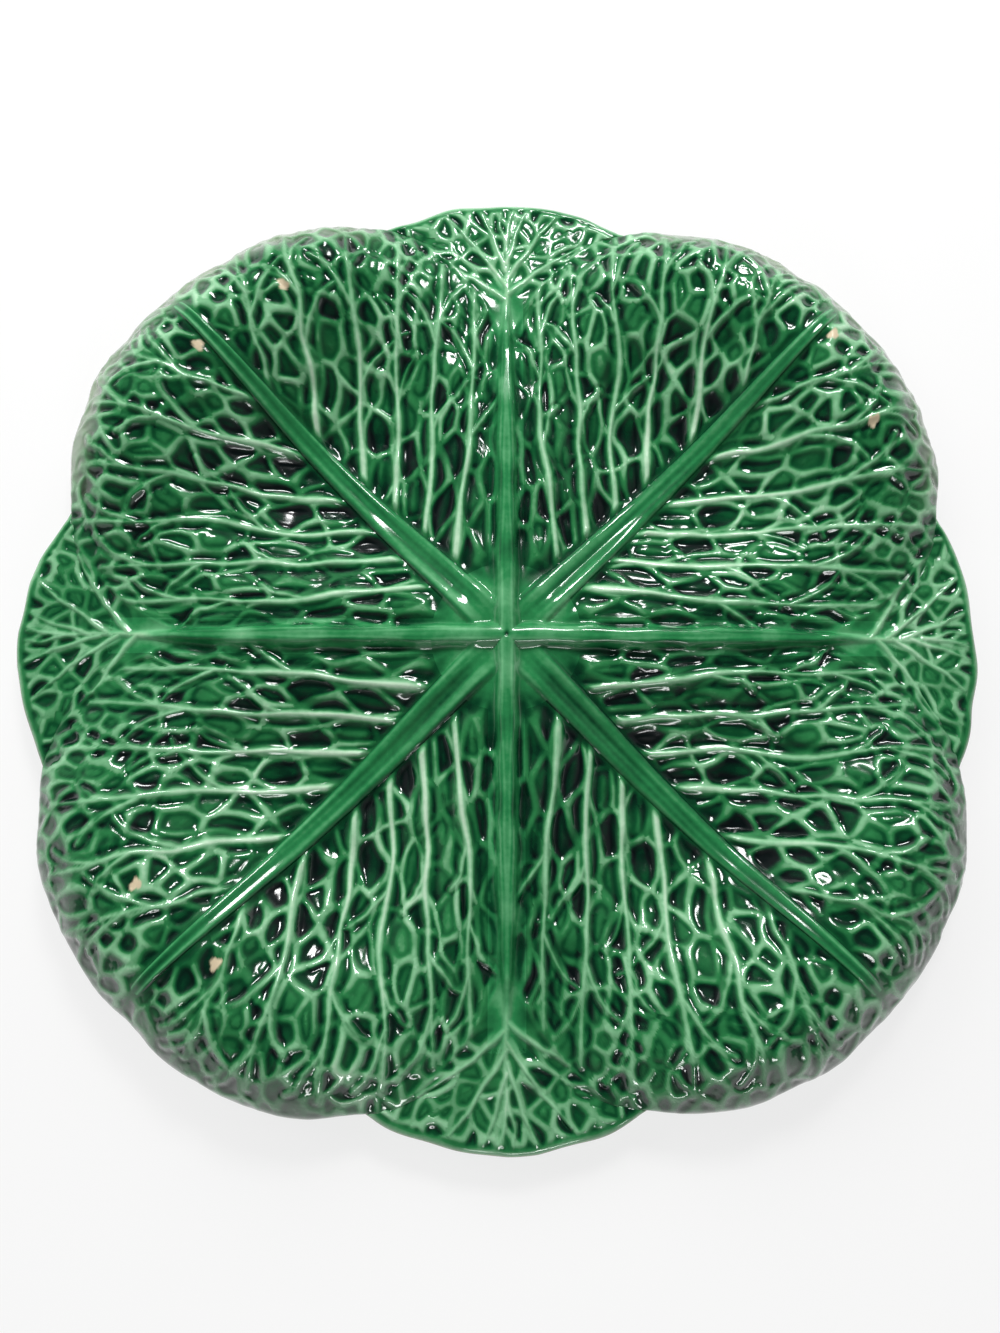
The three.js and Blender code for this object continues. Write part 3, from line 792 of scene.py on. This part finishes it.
def worn_edge(inset, free=1.0):
    """Mask of the line along an edge where the glaze has worn off, where the edge is free."""
    return 0.8 * free * (1 - rising(inset, 0.1, 1.0))


def lip_span():
    """Angle off the divider at which a lip has gone under its leaves."""
    inner, outer = 0.0, EIGHTH
    for _ in range(50):
        angle = (inner + outer) / 2
        shows = lip_edge(angle) > leaf_edge(EIGHTH - angle) - LIP_UNDERLAP + JOINT_GAP
        inner, outer = (angle, outer) if shows else (inner, angle)
    return inner


LIP_SPAN = float(lip_span())
LIP_SHARE = 1 - LIP_SPAN / EIGHTH  # of a leaf's half width, where the lip beside it begins


def well_piece():
    def polar(u, v):
        share = 2 * v - 1
        radius = mix(BOSS_RADIUS, column_end(share, RIM_BAND), u)
        return radius, share * side_angle(radius)

    def upper(u, v):
        radius, angle = polar(u, v)
        x, y = radius * np.cos(angle), radius * np.sin(angle)
        z, pool, _ = leaf_surface(x, y)
        return x, y, z, {"pool": pool}

    def under(u, v):
        radius, angle = polar(u, v)
        return radius * np.cos(angle), radius * np.sin(angle), leaf_bottom(radius, angle)

    return Piece(*WELL_GRID, upper, under)


def rim_piece():
    rows = RIM_BAND_ROWS + RIM_ROUND_ROWS

    def upper(u, v):
        share = 2 * v - 1
        rounding = mix(EDGE_ROUND, SEAM_ROUND, rising(np.abs(share), LIP_SHARE, 0.08))
        inset, turn = edge_roll(u * rows, RIM_BAND_ROWS, RIM_BAND, rounding)
        radius = column_end(share, inset)
        angle = share * side_angle(radius)
        x, y = radius * np.cos(angle), radius * np.sin(angle)
        top, pool, _ = leaf_surface(x, y)
        z = mix(leaf_bottom(radius, angle), top, (1 + np.cos(turn)) / 2)
        free = 1 - rising(np.abs(angle), EIGHTH - 1.4 * LIP_SPAN, 0.5 * LIP_SPAN)
        # a band along the rim's free edge that gets painted sheen, and on the southern rims painted shade too
        rim_painted_light = 0.6 * free * (1 - rising(inset, 2, 14))
        return x, y, z, {"pool": pool, "rim_painted_light": rim_painted_light, "worn": worn_edge(inset, free)}

    def under(u, v):
        share = 2 * v - 1
        radius = column_end(share, mix(RIM_BAND, EDGE_ROUND + 1, u))
        angle = share * side_angle(radius)
        return radius * np.cos(angle), radius * np.sin(angle), leaf_bottom(radius, angle)

    return Piece(rows, WELL_GRID[1], upper, under)


def midrib_piece():
    def place(u, v):
        radius = mix(BOSS_RADIUS - 1, MIDRIB_END, u)
        return radius, (2 * v - 1) * (midrib_half_width(radius) + 0.4)

    def upper(u, v):
        radius, y = place(u, v)
        z, _, _ = leaf_surface(radius, y)
        rise, _ = midrib_profile(radius, y)
        end = smooth((MIDRIB_END - radius) / 9)
        lines = 0.02 * np.sin(1.7 * y + 0.8 * np.sin(radius / 14))
        sunk = 0.35 * np.abs(2 * v - 1) ** 8
        return radius, y, z + (rise + lines) * end - sunk, {"pool": midrib_pool(radius, y)}

    def under(u, v):
        radius, y = place(u, v)
        return radius, y, leaf_base(np.hypot(radius, y), np.arctan2(y, radius)) - 2.2

    return Piece(*MIDRIB_GRID, upper, under)


def divider_piece():
    def place(u, v):
        radius = mix(BOSS_RADIUS, DIVIDER_END + 1.5, u)
        y = (2 * v - 1) * HALF_DIVIDER
        return radius, np.sqrt(radius**2 - y**2), y

    def upper(u, v):
        _, x, y = place(u, v)
        lx, ly = turned(x, np.abs(y), -EIGHTH)
        rx, ry = turned(x, -np.abs(y), EIGHTH)
        z, pool, _ = leaf_surface(np.where(y >= 0, lx, rx), np.where(y >= 0, ly, ry))
        return x, y, z, {"pool": pool}

    def under(u, v):
        radius, x, y = place(u, v)
        return x, y, saddle(radius) - WALL

    return Piece(*DIVIDER_GRID, upper, under)


def lip_piece():
    rows = LIP_BAND_ROWS + RIM_ROUND_ROWS

    def start(angle):
        return np.maximum(leaf_edge(EIGHTH - np.abs(angle)), DIVIDER_END) - LIP_UNDERLAP

    def upper(u, v):
        angle = (2 * v - 1) * LIP_SPAN
        width = lip_edge(angle) - start(angle)
        rounding = np.minimum(0.9 * EDGE_ROUND, 0.7 * width)
        inset, turn = edge_roll(u * rows, LIP_BAND_ROWS, width, rounding)
        radius = lip_edge(angle) - inset
        x, y = radius * np.cos(angle), radius * np.sin(angle)
        height, pool = lip_relief(x, y)
        top = saddle(radius) + height - 0.8 * (1 - smooth((width - inset) / LIP_UNDERLAP))
        z = mix(saddle(radius) - WALL, top, (1 + np.cos(turn)) / 2)
        return x, y, z, {"pool": pool, "worn": worn_edge(inset)}

    def under(u, v):
        angle = (2 * v - 1) * LIP_SPAN
        width = lip_edge(angle) - start(angle)
        radius = mix(start(angle), lip_edge(angle) - np.minimum(EDGE_ROUND + 1, 0.8 * width), u)
        return radius * np.cos(angle), radius * np.sin(angle), saddle(radius) - WALL

    return Piece(rows, LIP_COLUMNS, upper, under)


def boss_piece():
    def disc(u, v):
        a, b = 2 * u - 1, 2 * v - 1
        return BOSS_RADIUS * a * np.sqrt(1 - b * b / 2), BOSS_RADIUS * b * np.sqrt(1 - a * a / 2)

    def upper(u, v):
        x, y = disc(u, v)
        z, pool = boss_surface(x, y)
        return x, y, z, {"pool": pool}

    def under(u, v):
        x, y = disc(u, v)
        return x, y, saddle(np.hypot(x, y)) - WALL

    return Piece(*BOSS_GRID, upper, under)


def corner_masks(piece, corner):
    """A piece's masks on one leaf: its small bare spots, and the painted sheen and painted shade on its rim.
    """
    masks = dict(piece.masks)
    x, y = piece.top[..., 0], piece.top[..., 1]
    masks["bare"] = np.zeros_like(x)
    for number, (along, left) in enumerate(BARE_SPOTS[corner]):
        dx, dy = x - along, y - left
        around = np.arctan2(dy, dx)
        wobble = 0.35 * np.sin(3 * around + 2 * number) + 0.2 * np.sin(5 * around)
        spot = 1 - smooth((np.hypot(dx, 1.3 * dy) - BARE_SPOT_RADIUS - wobble) / 0.7)
        masks["bare"] = np.maximum(masks["bare"], spot)
    # the rim's band gets painted shade, as a darker pool, and painted sheen, each as much as its corner is
    # given
    if "rim_painted_light" in masks:
        masks["pool"] = masks["pool"] + RIM_PAINTED_SHADE[corner] * masks["rim_painted_light"]
        masks["rim_painted_light"] = RIM_PAINTED_SHEEN[corner] * masks["rim_painted_light"]
    return masks


# Glaze

def colour(red, green, blue):
    """A colour as seen, 0 to 255, in the linear values that shaders use."""
    seen = (red / 255, green / 255, blue / 255)
    return (*(((c + 0.055) / 1.055) ** 2.4 if c > 0.04045 else c / 12.92 for c in seen), 1.0)


class Nodes:
    """The node tree of a material or a world, written one node at a time."""

    MIX_A, MIX_B, MIX_RESULT = 6, 7, 2  # a Mix node's colour sockets, which share their names with others

    def __init__(self, owner):
        owner.use_nodes = True
        self.tree = owner.node_tree

    def add(self, kind, inputs=None, **settings):
        node = self.tree.nodes.new(kind)
        for name, value in settings.items():
            setattr(node, name, value)
        for name, value in (inputs or {}).items():
            self.join(value, node.inputs[name])
        return node

    def join(self, value, socket):
        if isinstance(value, bpy.types.NodeSocket):
            self.tree.links.new(value, socket)
        else:
            socket.default_value = value

    def attribute(self, name):
        return self.add("ShaderNodeAttribute", attribute_name=name).outputs["Fac"]

    def math(self, operation, a, b):
        return self.add("ShaderNodeMath", {0: a, 1: b}, operation=operation).outputs[0]

    def span(self, value, start, end, low=0.0, high=1.0):
        """Goes from low to high while a value goes from start to end."""
        ends = {"Value": value, "From Min": start, "From Max": end, "To Min": low, "To Max": high}
        return self.add("ShaderNodeMapRange", ends).outputs["Result"]

    def noise(self, scale, detail=3.0):
        place = self.add("ShaderNodeTexCoord").outputs["Object"]
        inputs = {"Vector": place, "Scale": scale, "Detail": detail}
        return self.add("ShaderNodeTexNoise", inputs).outputs["Fac"]

    def swing(self, noise, amount):
        """A noise moved to swing about 0."""
        return self.math("MULTIPLY", self.math("SUBTRACT", noise, 0.5), amount)

    def ramp(self, factor, stops):
        node = self.add("ShaderNodeValToRGB", {"Fac": factor})
        elements = node.color_ramp.elements
        while len(elements) < len(stops):
            elements.new(0.5)
        for element, (position, shade) in zip(elements, stops):
            element.position, element.color = position, shade
        return node.outputs["Color"]

    def blend(self, factor, a, b):
        inputs = {"Factor": factor, self.MIX_A: a, self.MIX_B: b}
        return self.add("ShaderNodeMix", inputs, data_type="RGBA").outputs[self.MIX_RESULT]


PAINTED_SHEEN_COLOUR = colour(128, 148, 120)
WORN_COLOUR = colour(150, 118, 78)
CLAY_COLOUR = colour(214, 196, 164)


def glaze(name, stops, mottle):
    """Thin glaze is pale, and where it pools it is dark; the clay shows where it is worn or bare."""
    material = bpy.data.materials.new(name)
    nodes = Nodes(material)
    shader = nodes.tree.nodes["Principled BSDF"].inputs
    tide, broad, fine = nodes.noise(17), nodes.noise(55), nodes.noise(420)
    drift = nodes.math("ADD", nodes.swing(broad, mottle), nodes.swing(tide, 0.3))
    drift = nodes.math("ADD", drift, nodes.swing(fine, 0.6 * mottle))
    shade = nodes.ramp(nodes.math("ADD", nodes.attribute("pool"), drift), stops)
    # painted sheen: a painted reflection that turns the rims' outer slopes pale grey-green
    rim_painted_light = nodes.math("MULTIPLY", nodes.attribute("rim_painted_light"), nodes.math("MULTIPLY", broad, 1.6))
    shade = nodes.blend(rim_painted_light, shade, PAINTED_SHEEN_COLOUR)
    worn = nodes.math("MULTIPLY", nodes.attribute("worn"), nodes.math("MULTIPLY", fine, 1.3))
    shade = nodes.blend(worn, shade, WORN_COLOUR)
    bare = nodes.attribute("bare")
    nodes.join(nodes.blend(bare, shade, CLAY_COLOUR), shader["Base Color"])
    rough = nodes.math("ADD", nodes.math("MULTIPLY", bare, 0.5), nodes.math("MULTIPLY", broad, 0.27))
    nodes.join(rough, shader["Roughness"])
    skin = {"Height": nodes.noise(260, 2.0), "Strength": 0.05, "Distance": 0.0006}
    nodes.join(nodes.add("ShaderNodeBump", skin).outputs["Normal"], shader["Normal"])
    shader["IOR"].default_value = 1.52
    shader["Coat Weight"].default_value = 0.12
    shader["Coat Roughness"].default_value = 0.05
    return material


LEAF_GLAZE = glaze(
    "leaf_glaze",
    (
        (0.0, colour(200, 230, 200)),
        (0.14, colour(138, 196, 150)),
        (0.36, colour(46, 126, 72)),
        (0.6, colour(12, 78, 42)),
        (0.82, colour(2, 42, 26)),
        (1.0, colour(6, 16, 16)),
    ),
    0.22,
)
STEM_GLAZE = glaze(
    "stem_glaze",
    (
        (0.0, colour(160, 208, 164)),
        (0.22, colour(106, 178, 126)),
        (0.46, colour(44, 132, 76)),
        (0.75, colour(4, 64, 36)),
        (1.0, colour(4, 22, 18)),
    ),
    0.3,
)


# The dish

well, rim, midrib = well_piece(), rim_piece(), midrib_piece()
for number, corner in enumerate(CORNERS):
    turn = (2 * number + 1) * EIGHTH
    well.build(f"well_{corner}", turn, LEAF_GLAZE, "leaf_glaze", corner_masks(well, corner))
    rim.build(f"rim_{corner}", turn, LEAF_GLAZE, "leaf_glaze", corner_masks(rim, corner))
    midrib.build(f"midrib_{corner}", turn, STEM_GLAZE, "stem_glaze")

divider, lip = divider_piece(), lip_piece()
for number, side in enumerate(SIDES):
    turn = 2 * number * EIGHTH
    divider.build(f"divider_{side}", turn, STEM_GLAZE, "stem_glaze")
    lip.build(f"lip_{side}", turn, LEAF_GLAZE, "leaf_glaze")

boss_piece().build("middle_boss", 0.0, STEM_GLAZE, "stem_glaze")


# Stage

def floor():
    """A pale floor that keeps the dish's shadow near it, and is seen as white further off."""
    bpy.ops.mesh.primitive_plane_add(size=8)
    plane = bpy.context.object
    plane.name = "floor"
    material = bpy.data.materials.new("pale_floor")
    nodes = Nodes(material)
    surface = nodes.tree.nodes["Principled BSDF"]
    surface.inputs["Base Color"].default_value = (0.86, 0.86, 0.85, 1)
    surface.inputs["Roughness"].default_value = 0.9
    path = nodes.add("ShaderNodeLightPath").outputs
    seen = nodes.math("MAXIMUM", path["Is Camera Ray"], path["Is Glossy Ray"])
    white = nodes.add("ShaderNodeEmission", {"Color": WHITE, "Strength": 1.0})
    place = nodes.add("ShaderNodeTexCoord").outputs["Object"]
    far = nodes.add("ShaderNodeVectorMath", {0: place}, operation="LENGTH").outputs["Value"]
    fade = nodes.span(far, 0.3, 0.9, 0.78, 1.0)
    shaders = {0: nodes.math("MULTIPLY", seen, fade), 1: surface.outputs[0], 2: white.outputs[0]}
    both = nodes.add("ShaderNodeMixShader", shaders)
    nodes.join(both.outputs[0], nodes.tree.nodes["Material Output"].inputs["Surface"])
    plane.data.materials.append(material)


def softbox(name, place, size, watts, mirrored):
    """A lamp aimed at the dish, which may show in the glaze as a highlight or only light it."""
    light = bpy.data.lights.new(name, "AREA")
    light.shape = "RECTANGLE"
    light.size, light.size_y = size
    light.energy = watts
    lamp = bpy.data.objects.new(name, light)
    lamp.location = place
    lamp.rotation_euler = (-Vector(place)).to_track_quat("-Z", "Y").to_euler()
    lamp.visible_glossy = mirrored
    bpy.context.scene.collection.objects.link(lamp)


def world():
    """A dim room round a white backdrop, which the camera and the low reflections see."""
    made = bpy.data.worlds.new("studio")
    nodes = Nodes(made)
    path = nodes.add("ShaderNodeLightPath").outputs
    place = nodes.add("ShaderNodeTexCoord").outputs["Generated"]
    up = nodes.add("ShaderNodeSeparateXYZ", {0: place}).outputs["Z"]
    mirrored = nodes.math("MAXIMUM", path["Is Glossy Ray"], path["Is Transmission Ray"])
    backdrop = nodes.math("MULTIPLY", mirrored, nodes.span(up, BACKDROP_TOP, BACKDROP_FULL))
    seen = nodes.math("MAXIMUM", path["Is Camera Ray"], backdrop)
    room = nodes.blend(nodes.span(up, OVERHEAD_FROM, OVERHEAD_FULL), ROOM, OVERHEAD)
    nodes.join(nodes.blend(seen, room, WHITE), nodes.tree.nodes["Background"].inputs["Color"])
    bpy.context.scene.world = made


def camera():
    lens = bpy.data.cameras.new("camera")
    lens.sensor_width = SENSOR
    lens.lens = CAMERA_LENS
    lens.clip_start = 0.01
    view = bpy.data.objects.new("camera", lens)
    view.location = Vector(CAMERA_PLACE) * MM
    east, north = (math.tan(math.radians(d)) for d in CAMERA_LEAN)
    back = -Vector((east, north, -1)).normalized()
    right = Vector((0, 1, 0)).cross(back).normalized()
    view.rotation_euler = Matrix((right, back.cross(right), back)).transposed().to_euler()
    bpy.context.scene.collection.objects.link(view)
    bpy.context.scene.camera = view


camera()
floor()
world()
softbox("window", (0.15, 0.85, 0.85), (0.3, 0.2), 7.5, True)
softbox("ceiling", (-0.15, 0.75, 0.5), (0.8, 0.45), 5.6, False)
softbox("fill", (-1.0, 0.55, 0.75), (0.6, 0.6), 5, False)
softbox("glint", (0.1, -0.9, 0.42), (0.3, 0.1), 1.7, True)
bpy.context.scene.view_settings.view_transform = "Standard"
